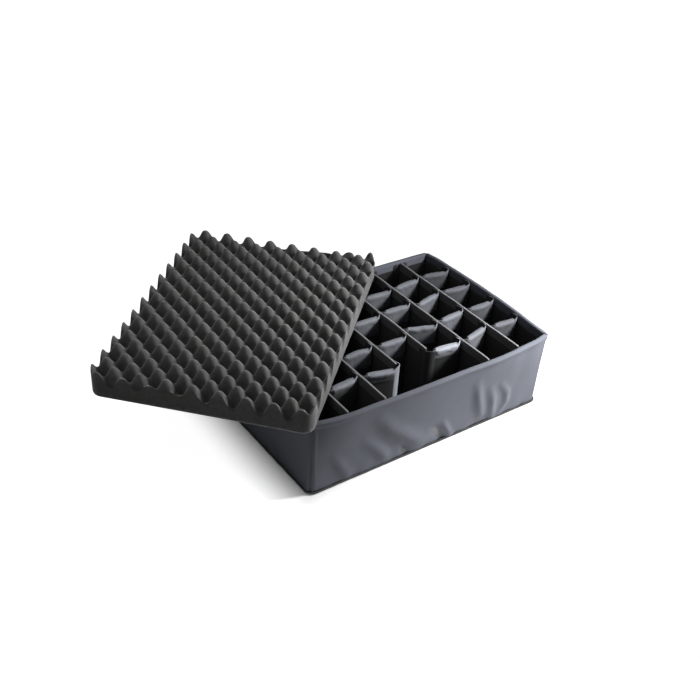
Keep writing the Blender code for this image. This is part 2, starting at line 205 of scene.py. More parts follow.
def wovenMaterial(name, dark, light, thread, roughness, sheen, bump, specular=0.5):
    # Plain weave: the height is the sine of one thread direction times the sine of the other, on the UV map
    material, tree, shader = newMaterial(name, roughness, sheen, 0.5, specular)
    uv = addNode(tree, "SeparateXYZ", {0: addNode(tree, "UVMap").outputs[0]}).outputs
    turn = 2 * math.pi / thread
    warp, weft = (mathNode(tree, "SINE", mathNode(tree, "MULTIPLY", uv[n], turn)) for n in (0, 1))
    weave = mathNode(tree, "MULTIPLY", warp, weft)
    cloudy = noise(tree, 22.0, 6.0)
    rough = addNode(tree, "MapRange", {0: cloudy, "To Min": roughness - 0.06, "To Max": roughness + 0.08})
    relief = addNode(tree, "Bump", {"Height": weave, "Strength": 0.5, "Distance": bump})
    setInputs(tree, shader, {"Base Color": twoColours(tree, cloudy, dark, light), "Roughness": rough.outputs[0],
                             "Normal": relief.outputs[0]})
    return material


def fuzzyMaterial(name, dark, light, grain, roughness, sheen, bump):
    # Brushed loop cloth: noise at two scales gives the nap, and a soft sheen the fibre ends
    material, tree, shader = newMaterial(name, roughness, sheen, 0.4, 0.3)
    nap, cloudy = noise(tree, 1 / grain, 4.0, 0.6), noise(tree, 45.0, 3.0)
    mixed = mathNode(tree, "ADD", mathNode(tree, "MULTIPLY", nap, 0.55), mathNode(tree, "MULTIPLY", cloudy, 0.45))
    relief = addNode(tree, "Bump", {"Height": nap, "Strength": 0.6, "Distance": bump})
    setInputs(tree, shader, {"Base Color": twoColours(tree, mixed, dark, light), "Normal": relief.outputs[0]})
    return material


def bandedMaterial(name, attribute, bandDark, bandLight, bandRoughness, **cloth):
    # The attribute of the mesh changes the brushed cloth to a smooth light one
    material = fuzzyMaterial(name, **cloth)
    tree = material.node_tree
    shader = tree.nodes["Principled BSDF"]
    clothColour = shader.inputs["Base Color"].links[0].from_socket
    band = addNode(tree, "Attribute", attribute_name=attribute).outputs["Fac"]
    bandColour = twoColours(tree, noise(tree, 70.0, 4.0), bandDark, bandLight)
    mixed = addNode(tree, "Mix", {0: band, 6: clothColour, 7: bandColour}, data_type="RGBA")
    rough = addNode(tree, "MapRange", {0: band, "To Min": cloth["roughness"], "To Max": bandRoughness})
    setInputs(tree, shader, {"Base Color": mixed.outputs[2], "Roughness": rough.outputs[0]})
    return material


def foamMaterial(name, low, high, cell, bump, attribute=None):
    # Open-cell foam: small Voronoi pits, and a colour that lightens from the valleys to the tips where an attribute
    # gives it: partly painted shade in the valleys, partly a lighter tone at the tips. Light that enters the open
    # cells comes out a few millimetres on, which evens out the domes
    material, tree, shader = newMaterial(name, 0.95, 0.30, 0.45, 0.25)
    place = addNode(tree, "TexCoord").outputs["Object"]
    pits = addNode(tree, "TexVoronoi", {"Vector": place, "Scale": 1 / cell}).outputs["Distance"]
    grain = noise(tree, 160.0, 3.0)
    base = addNode(tree, "Attribute", attribute_name=attribute).outputs["Fac"] if attribute else grain
    speckle = mathNode(tree, "MULTIPLY", mathNode(tree, "SUBTRACT", grain, 0.5), 0.5)
    colour = twoColours(tree, mathNode(tree, "ADD", base, speckle), low, high)
    pitted = mathNode(tree, "ADD", pits, mathNode(tree, "MULTIPLY", grain, 0.8))
    relief = addNode(tree, "Bump", {"Height": pitted, "Strength": 0.35, "Distance": bump})
    setInputs(tree, shader, {"Base Color": colour, "Normal": relief.outputs[0], "Diffuse Roughness": 1.0,
                             "Subsurface Weight": 0.85, "Subsurface Radius": (1, 1, 1), "Subsurface Scale": 0.009})
    return material


nylon = wovenMaterial("trayNylon", dark=(0.096, 0.102, 0.121), light=(0.138, 0.146, 0.173), thread=0.0009,
                      roughness=0.60, sheen=0.03, bump=0.00004, specular=0.08)
nylonBase = wovenMaterial("baseNylon", dark=(0.016, 0.016, 0.018), light=(0.024, 0.024, 0.027), thread=0.0009,
                          roughness=0.6, sheen=0.05, bump=0.00004)
tape = wovenMaterial("bindingTape", dark=(0.008, 0.008, 0.009), light=(0.016, 0.016, 0.018), thread=0.0014,
                     roughness=0.7, sheen=0.1, bump=0.00010)
tabCloth = wovenMaterial("tabTape", dark=(0.010, 0.010, 0.011), light=(0.022, 0.022, 0.024), thread=0.0012,
                         roughness=0.45, sheen=0.05, bump=0.00006)
loopCloth = fuzzyMaterial("loopLining", dark=(0.006, 0.006, 0.006), light=(0.016, 0.015, 0.015), grain=0.0012,
                          roughness=0.95, sheen=0.06, bump=0.0003)
# The long dividers' light band and top edge, read from the core attribute, are painted light
slabCloth = bandedMaterial("slabLoopCloth", "core", bandDark=(0.16, 0.16, 0.17), bandLight=(0.24, 0.24, 0.25),
                           bandRoughness=0.8, dark=(0.009, 0.009, 0.009), light=(0.019, 0.018, 0.018), grain=0.0011,
                           roughness=0.95, sheen=0.08, bump=0.0003)
padCloth = bandedMaterial("dividerCloth", "band", bandDark=(0.240, 0.253, 0.285), bandLight=(0.330, 0.347, 0.390),
                          bandRoughness=0.70, dark=(0.006, 0.006, 0.007), light=(0.013, 0.013, 0.014), grain=0.0013,
                          roughness=0.95, sheen=0.06, bump=0.0002)
# The tip attribute paints shade into the valleys and onto the lower cut sides
eggFoam = foamMaterial("eggCrateFoam", low=(0.037, 0.037, 0.037), high=(0.134, 0.133, 0.131), cell=0.0011,
                       bump=0.0004, attribute="tip")
boardFoam = foamMaterial("boardFoam", low=(0.10, 0.10, 0.10), high=(0.15, 0.15, 0.15), cell=0.0015, bump=0.0002)
print("materials made")


def leanAt(z):
    # How far a wall has drawn in: in proportion to the drop below the rim
    return tray["lean"] * (rimZ - z) / rimZ


def cornerRadius(z, inset):
    # The corner's radius grows from the rim to the foot, less what a layer lies inside the cloth
    growth = (tray["footCorner"] - tray["rimCorner"]) * (rimZ - z) / rimZ
    return tray["rimCorner"] + growth - inset


def halfSpans(index, z, inset):
    # Half the length of a wall's layer, and how far it stands from the tray's middle
    spans = (tray["length"], tray["depth"]) if index % 2 == 0 else (tray["depth"], tray["length"])
    return [span / 2 - leanAt(z) - inset for span in spans]


def swellAt(side, along, z):
    # One minus a power of the share along the straight part, and a few soft waves, all in step with the height
    half = halfSpans(sideNames.index(side), z, 0)[0] - cornerRadius(z, 0)
    share = clamp(np.abs(along) / half)
    out = swell[side] * (1 - share ** swellPower[side])
    for place, width, height in waves[side]:
        out = out + height * np.exp(-(((along - place) / width) ** 2)) * clamp((1 - share) / 0.08)
    return out * z / rimZ


def outlineAt(z, inset, corner=8, straight=40):
    # Plan line of the tray at one height, wall by wall and counter-clockwise from the left front corner
    radius = cornerRadius(z, inset)
    halfCorner = corner // 2
    points = []
    for index, side in enumerate(sideNames):
        across, out = halfSpans(index, z, inset)
        angle = np.linspace(-np.pi / 4, 0, halfCorner + 1) - np.pi / 2
        bend = np.r_[angle, np.full(straight, -np.pi / 2), -np.pi - angle[::-1]][:-1]
        slide = np.r_[np.full(halfCorner + 1, -1.0), np.linspace(-1, 1, straight + 2)[1:-1], np.full(halfCorner, 1.0)]
        x = slide * (across - radius) + radius * np.cos(bend)
        y = -(out - radius) + radius * np.sin(bend) - swellAt(side, x, z)
        points.append(np.stack(turned(index * np.pi / 2, x, y), 1))
    return np.concatenate(points)


# Folds of each wall's nylon: points along the crest (distance along the wall, height), half width and height
coverFolds = dict(
    front=[
        (((0.070, 0.086), (0.079, 0.056), (0.091, 0.022)), 0.0075, 0.0032),
        (((0.100, 0.066), (0.110, 0.042), (0.113, 0.020), (0.119, 0.004)), 0.0070, 0.0036),
        (((0.122, 0.066), (0.138, 0.046), (0.141, 0.026), (0.131, 0.008)), 0.0060, 0.0030),
        (((-0.104, 0.092), (-0.078, 0.062), (-0.048, 0.038), (-0.022, 0.016)), 0.0120, 0.0040),
        (((0.016, 0.036), (0.027, 0.018), (0.036, 0.004)), 0.0050, 0.0028),
        (((-0.002, 0.034), (0.010, 0.020), (0.020, 0.006)), 0.0060, -0.0020),
        (((-0.058, 0.030), (-0.052, 0.016), (-0.046, 0.004)), 0.0050, -0.0022),
        (((-0.124, 0.060), (-0.096, 0.031), (-0.080, 0.010)), 0.0090, 0.0026),
        (((-0.174, 0.052), (-0.158, 0.026), (-0.146, 0.006)), 0.0080, 0.0018),
        (((0.160, 0.040), (0.166, 0.020), (0.168, 0.004)), 0.0080, 0.0008),
    ],
    right=[(((-0.060, 0.060), (-0.050, 0.030), (-0.048, 0.006)), 0.008, 0.0014),
           (((0.055, 0.045), (0.062, 0.020), (0.060, 0.004)), 0.009, 0.0012)],
    back=[(((-0.120, 0.070), (-0.100, 0.035), (-0.094, 0.008)), 0.009, 0.0018),
          (((0.040, 0.050), (0.052, 0.024), (0.056, 0.005)), 0.008, 0.0014),
          (((0.120, 0.080), (0.136, 0.045), (0.140, 0.012)), 0.010, 0.0014)],
    left=[(((-0.050, 0.050), (-0.036, 0.024), (-0.030, 0.005)), 0.009, 0.0014)],
)
# Rows stand closer above denseFrom. The roll is the soft swelling of the rim, and the seam the groove at each mitre
cover = dict(denseFrom=0.104, foldFade=0.012, pucker=0.0007, puckerSize=0.011, puckerReach=0.016, slack=0.00035,
             slackSize=0.05, rollDepth=0.0085, rollProud=0.0019, rollUneven=0.0003, seamDepth=0.0011,
             seamWidth=0.0016, columns=(150, 104))


def foldHeight(along, up, crest, width, height):
    # Distance to the nearest stretch of the crest line gives a bell-shaped ridge, which fades at both ends
    crest = np.array(crest)
    best = np.full(along.shape, 1e9)
    place = np.zeros(along.shape)
    for n, (a, b) in enumerate(zip(crest[:-1], crest[1:])):
        step = b - a
        share = clamp(((along - a[0]) * step[0] + (up - a[1]) * step[1]) / (step @ step))
        away = np.hypot(along - a[0] - share * step[0], up - a[1] - share * step[1])
        closer = away < best
        best = np.where(closer, away, best)
        place = np.where(closer, (n + share) / (len(crest) - 1), place)
    fade = np.sin(np.pi * clamp(place * 0.72 + 0.08)) ** 0.8
    return height * np.exp(-((best / width) ** 2)) * fade


def makeCover(side, seed):
    # The wall's section (up the outside, half a circle over the rim, down as the hem) is carried from mitre to
    # mitre, then pushed out along its normal by folds and puckers
    index, c, halfWall = sideNames.index(side), cover, tray["wall"] / 2
    up = rimZ - halfWall
    lower = np.linspace(tray["cloth"] + tray["gap"], c["denseFrom"], 34)[:-1]
    outside = np.r_[lower, np.linspace(c["denseFrom"], up, 11)]
    over = np.linspace(0, np.pi, 13)[1:]
    hem = np.linspace(up, rimZ - tray["hem"], 7)[1:]
    z = np.r_[outside, up + halfWall * np.sin(over), hem]
    inset = np.r_[outside * 0, halfWall - halfWall * np.cos(over), np.full(len(hem), tray["wall"])]
    normalOut = np.r_[np.ones(len(outside)), np.cos(over), np.full(len(hem), -1.0)]
    normalUp = np.r_[outside * 0, np.sin(over), hem * 0]
    path = walkAlong(z, inset)
    radius = cornerRadius(z, inset)
    across, out = halfSpans(index, z, inset)
    reach = np.pi / 4 - np.arcsin(tray["gap"] / 2 / radius)
    count = c["columns"][index % 2]
    bend = np.linspace(0, 1, 12)
    turnShare = np.r_[bend - 1, np.zeros(count), bend]
    slide = np.r_[np.full(12, -1.0), np.linspace(-1, 1, count + 2)[1:-1], np.full(12, 1.0)]
    angle = -np.pi / 2 + reach[:, None] * turnShare
    x = slide * (across - radius)[:, None] + radius[:, None] * np.cos(angle)
    y = -(out - radius)[:, None] + radius[:, None] * np.sin(angle)
    height = np.broadcast_to(z[:, None], x.shape)
    y = y - swellAt(side, x, height)
    push = np.zeros(x.shape)
    for crest, width, tall in coverFolds[side]:
        push += foldHeight(x, height, crest, width, tall)
    # Puckers where the foot seam gathers the cloth, and a slow unevenness all over
    foot = np.exp(-height / c["puckerReach"])
    push += foot * c["pucker"] * (ripple(x, height * 0.3, seed, c["puckerSize"]) + 0.5)
    push += c["slack"] * ripple(x, height, seed + 1, c["slackSize"])
    push = push * clamp((up + 0.001 - height) / c["foldFade"]) * (inset[:, None] < 0.0005)
    # The rim stands out as a soft roll, where the hem allowance is folded in over the board's top
    rimStart, rimEnd = path[len(outside) - 1], path[len(outside) + 2]
    rollShare = clamp((path - rimStart + c["rollDepth"]) / c["rollDepth"]) * (path < rimEnd)
    overShare = clamp((path - rimStart) / (rimEnd - rimStart))
    roll = (np.sin(rollShare * np.pi / 2) ** 1.6 * (1 - overShare ** 2))[:, None]
    push += roll * (c["rollProud"] + c["rollUneven"] * ripple(x, height * 0, seed + 2, 0.030))
    # A seam groove at each mitre
    toMitre = (1 - np.abs(turnShare)) * reach[:, None] * radius[:, None] + (np.abs(slide) < 1) * 1.0
    push -= c["seamDepth"] * np.exp(-((toMitre / c["seamWidth"]) ** 2))
    px = x + push * normalOut[:, None] * np.cos(angle)
    py = y + push * normalOut[:, None] * np.sin(angle)
    pz = height + push * normalUp[:, None]
    points = np.stack([*turned(index * np.pi / 2, px, py), pz], -1)
    low = len(z) // 4
    walk = walkAlong(x[low], y[low])
    piece = surfacePiece(f"{side}CoverCloth", points, nylon, f"{side}_cover_panel", along=path, across=walk)
    thicken(piece, tray["cloth"])


for number, side in enumerate(sideNames):
    makeCover(side, 11 + 7 * number)


def tubeAlong(name, line, radius, material, closed=False, squash=1, facets=10, **kwargs):
    # A round or oval section carried along a line, held square to it; the section's first axis stays level
    line = np.asarray(line, float)
    if closed:
        ahead = np.roll(line, -1, 0) - np.roll(line, 1, 0)
    else:
        ahead = np.gradient(line, axis=0)
    ahead /= np.linalg.norm(ahead, axis=1)[:, None]
    level = np.cross(ahead, (0, 0, 1))
    level[np.linalg.norm(level, axis=1) < 1e-3] = (1, 0, 0)  # where the line stands upright
    level /= np.linalg.norm(level, axis=1)[:, None]
    rise = np.cross(level, ahead)
    turn = np.linspace(0, 2 * np.pi, facets, endpoint=False)
    radius = np.broadcast_to(radius, (len(line),))[:, None, None]
    wide, tall = squash * np.cos(turn)[:, None], np.sin(turn)[:, None]
    rings = line[:, None] + radius * (wide * level[:, None] + tall * rise[:, None])
    distance = np.r_[0, np.cumsum(np.linalg.norm(np.diff(line, axis=0), axis=1))]
    if closed:
        rings = np.r_[rings, rings[:1]]
        distance = np.append(distance, distance[-1] + np.linalg.norm(line[0] - line[-1]))
    girth = np.linspace(0, 2 * np.pi * float(radius.mean()), facets + 1)
    piece = surfacePiece(name, rings, material, ends=0 if closed else 2, along=distance, across=girth, **kwargs)
    if closed:
        faceOutwards(piece.data, weld=1e-6)  # the last ring joins the first


# A piped edge sunk in the groove between two covers, from the foot over the rim and down to the hem
piping = dict(radius=0.0008, sunk=0.0009, foot=0.0035, tail=(0.006, 0.010))


def makePiping(number, sx, sy):
    # A line up the corner's diagonal, half a circle over the rim and a short tail inside, as a thin tube
    sunk, halfWall = piping["sunk"], tray["wall"] / 2
    top = rimZ - halfWall
    over = np.linspace(0, np.pi, 9)
    upright = np.linspace(piping["foot"], top, 24)[:-1]
    tail = top - np.array(piping["tail"])
    z = np.r_[upright, top + (halfWall - sunk) * np.sin(over), tail]
    inset = np.r_[np.full(len(upright), sunk), halfWall - (halfWall - sunk) * np.cos(over),
                  np.full(len(tail), tray["wall"] - sunk)]
    radius = cornerRadius(z, 0)
    reachOut = np.maximum(radius - inset, 0.0002) / np.sqrt(2)
    x = sx * (tray["length"] / 2 - leanAt(z) - radius + reachOut)
    y = sy * (tray["depth"] / 2 - leanAt(z) - radius + reachOut)
    line = np.stack([x, y, z], 1)
    tubeAlong(f"cornerPiping{number}", line, piping["radius"], tape)


for number, (sx, sy) in enumerate(((-1, -1), (1, -1), (1, 1), (-1, 1)), 1):
    makePiping(number, sx, sy)


footTape = dict(radius=0.0014, out=0.0017, height=0.00175, uneven=0.00012, wander=0.00018, rise=0.0001, squash=0.92)


def makeFootBinding():
    # A folded tape round the foot outline, whose width, line and height ripple a little
    line = outlineAt(footTape["out"], -footTape["out"], 10, 60)
    wobble = ripple(line[:, 0], line[:, 1], 5, 0.014)
    outward = line / np.linalg.norm(line, axis=1)[:, None]
    line = line + outward * (footTape["wander"] * wobble)[:, None]
    height = footTape["height"] + footTape["rise"] * ripple(line[:, 0], line[:, 1], 6, 0.02)
    tubeAlong("footBinding", np.column_stack([line, height]), footTape["radius"] + footTape["uneven"] * wobble, tape,
              closed=True, squash=footTape["squash"], facets=12, replaced="bottom_binding")


makeFootBinding()


bottomCloth = dict(shares=(1.0, 0.995, 0.97, 0.9, 0.7, 0.45, 0.2, 0.02), flat=(0.413, 0.283), area=0.1163, girth=1.4)


def ringOf(line, z):
    return np.column_stack([line, np.full(len(line), z)])


def makeBottomCloth():
    # Shares of the foot outline, from the middle out underneath and back in a cloth's thickness higher up
    outline = outlineAt(0, 0, straight=30)
    shares = np.array(bottomCloth["shares"])
    rings = [ringOf(outline * share, 0) for share in shares[::-1]]
    rings += [ringOf(outline * share, tray["cloth"]) for share in shares]
    along = np.r_[np.cumsum(shares[::-1]), 10 + np.cumsum(shares)] * 0.05
    walk = np.linspace(0, bottomCloth["girth"], len(outline) + 1)
    piece = surfacePiece("bottomCloth", np.array(rings), nylonBase, "bottom_skin", ends=2, along=along, across=walk,
                         sharp=40)


makeBottomCloth()


# The lining's cut is a floor with four walls that fold up from its sides
lining = dict(floor=0.0062, shares=(0.02, 0.3, 0.6, 0.9, 0.985), floorCut=(0.4036, 0.2736), wallCut=0.102,
              flat=(0.608, 0.478), fold=0.0008, girth=1.36)


def makeLining():
    # The floor is the inner outline drawn in to the middle by shares; a rounded edge leads to rings up the walls
    inset, floor = tray["wall"] - tray["cloth"], lining["floor"]
    top = rimZ - tray["hem"] - tray["gap"]
    climb = np.r_[floor + 0.0012, np.linspace(0.02, top, 10)]
    base = outlineAt(floor, inset, 6, 36)
    rings = [(base * share, floor) for share in lining["shares"]]
    rings.append((outlineAt(floor, inset + lining["fold"], 6, 36), floor + 0.0002))
    rings += [(outlineAt(z, inset, 6, 36), z) for z in climb]
    points = np.array([ringOf(line, z) for line, z in rings])
    walk = 0.204 + np.r_[0.001, climb[1:]]
    along = np.r_[np.array(lining["shares"]) * 0.2, 0.202, walk]
    piece = surfacePiece("liningCloth", points, loopCloth, "loop_lining", ends=1, along=along,
                         across=np.linspace(0, lining["girth"], len(base) + 1))
    faceOutwards(piece.data)
    if sum(face.normal.z * face.area for face in piece.data.polygons) > 0:
        piece.data.flip_normals()
    thicken(piece, tray["cloth"])


makeLining()


# Height and inset of each ring of the floor foam, whose edges are eased
floorFoam = dict(rings=((0.0011, 0.0017), (0.0016, 0.0012), (0.0035, 0.0011), (0.0054, 0.0012), (0.0059, 0.0017)),
                 girth=1.4)


def makeFloorFoam():
    # The tray's plan line at five heights, stacked and closed
    points = np.array([ringOf(outlineAt(z, inset, straight=30), z) for z, inset in floorFoam["rings"]])
    piece = surfacePiece("floorFoamSheet", points, boardFoam, "floor_foam", ends=2,
                         along=np.array([0, 0.001, 0.003, 0.005, 0.006]),
                         across=np.linspace(0, floorFoam["girth"], points.shape[1] + 1), sharp=40)


makeFloorFoam()


foamBoard = dict(half=0.0024, foot=0.0066, straightFrom=0.012, clear=0.0004)


def makeFoamBoard(side):
    # The board's section, flat below and half round on top, is carried straight from corner to corner
    index, half, middle = sideNames.index(side), foamBoard["half"], tray["wall"] / 2
    top = rimZ - middle
    turn = np.linspace(0, np.pi, 9)[1:-1]
    up = np.r_[foamBoard["foot"], np.linspace(foamBoard["straightFrom"], top, 6)]
    z = np.r_[up, top + half * np.sin(turn), up[::-1]]
    inset = np.r_[np.full(len(up), middle - half), middle - half * np.cos(turn), np.full(len(up), middle + half)]
    across, out = halfSpans(index, z, inset)
    share = np.linspace(-1, 1, 25)
    x = share[:, None] * (across - cornerRadius(z, inset) - foamBoard["clear"])
    y = -out - swellAt(side, x, z)
    points = np.stack([*turned(index * np.pi / 2, x, y), np.broadcast_to(z, x.shape)], -1)
    piece = surfacePiece(f"{side}FoamBoard", points, boardFoam, f"{side}_foam_board", ends=2, along=share * 0.2,
                         across=np.linspace(0, 0.25, len(z) + 1), sharp=50)


for side in sideNames:
    makeFoamBoard(side)
print("tray made")


# first is the width of the first column as a share of the pitch, and bandLight how light the band along the top of
# each face is: painted light where light reaches into the top of the cells
longDivider = dict(pitch=0.0609974, first=0.828, half=0.00225, band=0.013, bandLight=0.30, coreHalf=0.0013,
                   coreProud=0.0006, unevenness=0.00006, wander=0.0002, topUneven=0.0004, endDip=0.0010, rows=90,
                   short=(3, 4), tabDepth=0.0014)


def longX(number):
    return tray["wall"] - tray["length"] / 2 + (number - 1 + longDivider["first"]) * longDivider["pitch"]


def wallY(side, x, z, inset):
    # How far from the middle a layer of the front or back wall stands
    along = x if side == "front" else -x
    return tray["depth"] / 2 - leanAt(z) - inset + swellAt(side, along, z)


def makeLongDivider(number):
    # A section of two cloth faces with the foam's cut edge standing up between them is carried from wall to wall
    node = f"long_divider_{number}"
    low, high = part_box(node)
    x, half, coreHalf = longX(number), longDivider["half"], longDivider["coreHalf"]
    rim = high.z - longDivider["coreProud"]
    bandFoot = rim - longDivider["band"]
    upZ = np.r_[low.z + 0.0006, low.z + 0.002, np.linspace(0.02, bandFoot - 0.006, 7), bandFoot, bandFoot + 0.0008,
                np.linspace(bandFoot + 0.003, rim - 0.003, 3), rim - 0.0012, rim - 0.0004, rim, rim - 0.0002,
                high.z - 0.0001, high.z]
    edgeX = [half, half - 0.0002, half - 0.0006, coreHalf + 0.0001, coreHalf - 0.0001, 0.0007]
    upX = np.r_[half * 0.8, np.full(13, half), edgeX]
    z = np.r_[upZ, upZ[::-1]]
    offset = np.r_[upX, -upX[::-1]]
    # Painted light: the core attribute lightens a band at the top of each face, where light reaches into the cells
    faceLight = np.where(upZ > bandFoot + 0.0004, longDivider["bandLight"], 0.0)
    # The top edge, the foam's cut edge, is set lightest: a painted highlight on the lit top
    faceLight[-2:] = 1  # the cut edge of the foam
    core = np.r_[faceLight, faceLight[::-1]]
    inset = tray["wall"] + 2 * tray["gap"] + longDivider["tabDepth"]
    backY = wallY("back", x + offset, z, inset)
    stopsShort = number in longDivider["short"]
    frontY = np.full(z.shape, low.y) if stopsShort else -wallY("front", x + offset, z, inset)
    share = np.linspace(0, 1, longDivider["rows"])
    share = (1 - np.cos(share * np.pi)) / 2 * 0.35 + share * 0.65  # rows stand closer towards both ends
    y = frontY + (backY - frontY) * share[:, None]
    span = high.y - low.y
    inward = np.minimum(share, 1 - share) * span
    slim = np.sqrt(np.clip(1 - ((0.002 - np.clip(inward, 0, 0.002)) / 0.002) ** 2, 0.15, 1))
    bump = longDivider["unevenness"] * ripple(y, np.broadcast_to(z, y.shape), 40 + number, 0.02)
    # The slab wanders between the short dividers that hold it, by less than the gap to their tabs
    wander = longDivider["wander"] * ripple(y, y * 0 + number, 60 + number, 0.07)
    wander = wander * clamp(inward / 0.02)[:, None]
    px = x + wander * (z / rimZ) + offset * slim[:, None] * (1 - bump / half)
    dip = longDivider["endDip"] * (clamp(1 - inward / 0.005) ** 2)[:, None]
    pz = z + (longDivider["topUneven"] * ripple(y, y * 0, 80 + number, 0.03) - dip) * (z > 0.1)
    girth = walkAlong(z, offset)
    piece = surfacePiece(f"longDividerPad{number}", np.stack([px, y, pz], -1), slabCloth, node, ends=2,
                         along=share * span, across=np.append(girth, girth[-1] + 2 * half),
                         values={"core": np.broadcast_to(core, y.shape)}, sharp=50)


# layers are the tab's inset from the wall's outside, from back to front, and the share of its size there
endTab = dict(width=0.013, corner=0.004, layers=((0.0074, 0.95), (0.0076, 1.0), (0.0085, 1.0), (0.0087, 0.95)))


def makeEndTab(number, end):
    # A strip of hook tape lies against the wall, a rounded rectangle with a thickness
    node = f"long_divider_{number}_{end}_tab"
    low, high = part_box(node)
    middle, width, corner = longX(number), endTab["width"], endTab["corner"]
    angle = np.linspace(0, np.pi / 2, 5)[1:]
    rightU = np.r_[np.full(7, width), width - corner + corner * np.cos(angle)]
    rightZ = np.r_[low.z, np.linspace(low.z + 0.01, high.z - corner, 6), high.z - corner + corner * np.sin(angle)]
    topU = np.array([width - corner, 0, corner - width]) * 0.6
    u = np.r_[rightU, topU, -rightU[::-1]]
    z = np.r_[rightZ, np.full(3, high.z), rightZ[::-1]]
    facing = -1 if end == "front" else 1
    rings = []
    for inset, shrink in endTab["layers"]:
        y = facing * wallY(end, middle + u * shrink, z, inset)
        rings.append(np.stack([middle + u * shrink, y, low.z + (z - low.z) * (0.997 + 0.003 * (shrink == 1.0))], -1))
    walk = walkAlong(u, z)
    piece = surfacePiece(f"longDivider{number}{end.capitalize()}Tab", np.array(rings), tabCloth, node, ends=2,
                         along=np.array([0, 0.0003, 0.001, 0.0013]), across=np.append(walk, walk[-1] + 2 * width),
                         sharp=40)


for number in range(1, 7):
    makeLongDivider(number)
    for end in ("front", "back"):
        if f"long_divider_{number}_{end}_tab" in bodyOf:
            makeEndTab(number, end)
print("long dividers made")


# The lights say how much of the nylon's light colour the band has: on its faces; on the crown, lighter than the faces
# as a painted highlight where the rounded top is lit; below the seam as a share of the faces, which on crowned
# dividers paints shade under that highlight; and on a left and a right end strip that clasps a long divider's front
# end, the left one painted as shade where it faces away from the light
shortDivider = dict(rowPitch=0.0552, top=0.120, core=0.009, coreEnd=0.0065, setback=0.0085, sweep=0.010, reach=0.014,
                    tab=0.0014, crown=0.0040, seam=0.0098, band=0.030, puff=0.0003, wrinkle=0.0003, horn=0.0026,
                    dip=0.0014, slack=0.0003, bow=0.0009, uneven=0.0006, faceLight=0.29, crownPaintedHighlight=0.50,
                    belowSeamPaintedShade=1.0, claspLights=(0.06, 0.7))
# Dividers that differ, by column and row: those with a padded crown above a lower band, two of them towards the left
# in painted shade, and the last column in painted shade
crowned = dict(band=0.0165, puff=0.0012, belowSeamPaintedShade=0.3, faceLight=0.9, crownPaintedHighlight=1.0)
crownedInPaintedShade = dict(crowned, faceLight=0.20, crownPaintedHighlight=0.60)
lastColumnPaintedShade = dict(faceLight=0.16, crownPaintedHighlight=0.34)
variants = {(2, 1): crownedInPaintedShade, (3, 1): crownedInPaintedShade, (5, 1): crowned, **{(7, row): lastColumnPaintedShade for row in range(1, 5)}}
# How far the left and right end of a divider, by column and row, stand behind its row
endOffsets = {(2, 1): (-0.006, -0.002), (3, 1): (-0.004, -0.012), (3, 2): (-0.007, -0.008), (4, 2): (-0.009, -0.010),
              (5, 1): (-0.003, -0.006), (5, 2): (0.007, -0.008), (5, 3): (0.007, 0.004), (5, 4): (-0.001, -0.003),
              (6, 1): (-0.004, 0.006), (6, 2): (0.0, 0.004), (6, 3): (0.0, 0.008), (6, 4): (0.002, 0.004),
              (7, 1): (0.003, 0.001), (7, 2): (0.004, 0.003), (7, 3): (0.010, 0.005), (7, 4): (0.008, 0.001)}


def tabOutline(core, outer, half, middleY, size):
    # A quarter ellipse out to the face, straight to the tip, round the tip and the same way back inside
    thick = size["tab"]
    a = np.linspace(-np.pi / 2, 0, 12)[1:]
    outX, outY = core + (outer - core) * np.cos(a), middleY + size["sweep"] * np.sin(a)
    tip = half + size["reach"]
    line = np.linspace(middleY, tip - thick / 2, 7)[1:]
    c = np.linspace(0, np.pi, 6)[1:-1]
    tipX, tipY = outer - thick / 2 + thick / 2 * np.cos(c), tip - thick / 2 + thick / 2 * np.sin(c)
    inX = core + (outer - core - thick) * np.cos(a[::-1])
    inY = middleY + (size["sweep"] - thick) * np.sin(a[::-1])
    xs = np.r_[outX, np.full(6, outer), tipX, np.full(6, outer - thick), inX, core]
    ys = np.r_[outY, line, tipY, line[::-1], inY, middleY - size["sweep"] + thick]
    return xs, ys


def dividerOutline(left, right, leftOuter, rightOuter, size):
    # Plan outline: the front face, the right tab, the back face and the left tab. A weight per point says how much
    # the crown may draw it in, and part is 1 on a face, 2 on the strip that turns off an end and 3 on the tab
    half, endHalf = size["core"] / 2, size["coreEnd"] / 2
    middleY = size["sweep"] - endHalf
    share = np.linspace(-1, 1, 31)
    faceX = np.where(share < 0, left, right) * share
    depth = endHalf + (half - endHalf) * (1 - np.abs(share) ** 3.0)
    rightX, rightY = tabOutline(right, rightOuter, half, middleY, size)
    leftX, leftY = tabOutline(left, leftOuter, half, middleY, size)
    xs = np.r_[faceX, rightX, faceX[::-1], -leftX[::-1]]
    ys = np.r_[-depth, rightY, depth[::-1], leftY[::-1]]
    edge = clamp((1 - np.abs(share)) / 0.06)
    weight = np.r_[edge, np.zeros(len(rightX)), np.maximum(edge, 0.75), np.zeros(len(leftX))]
    strip = np.r_[np.full(11, 2.0), np.full(len(rightX) - 11, 3.0)]
    part = np.r_[np.ones(31), strip, np.ones(31), strip[::-1]]
    return xs, ys, weight, part


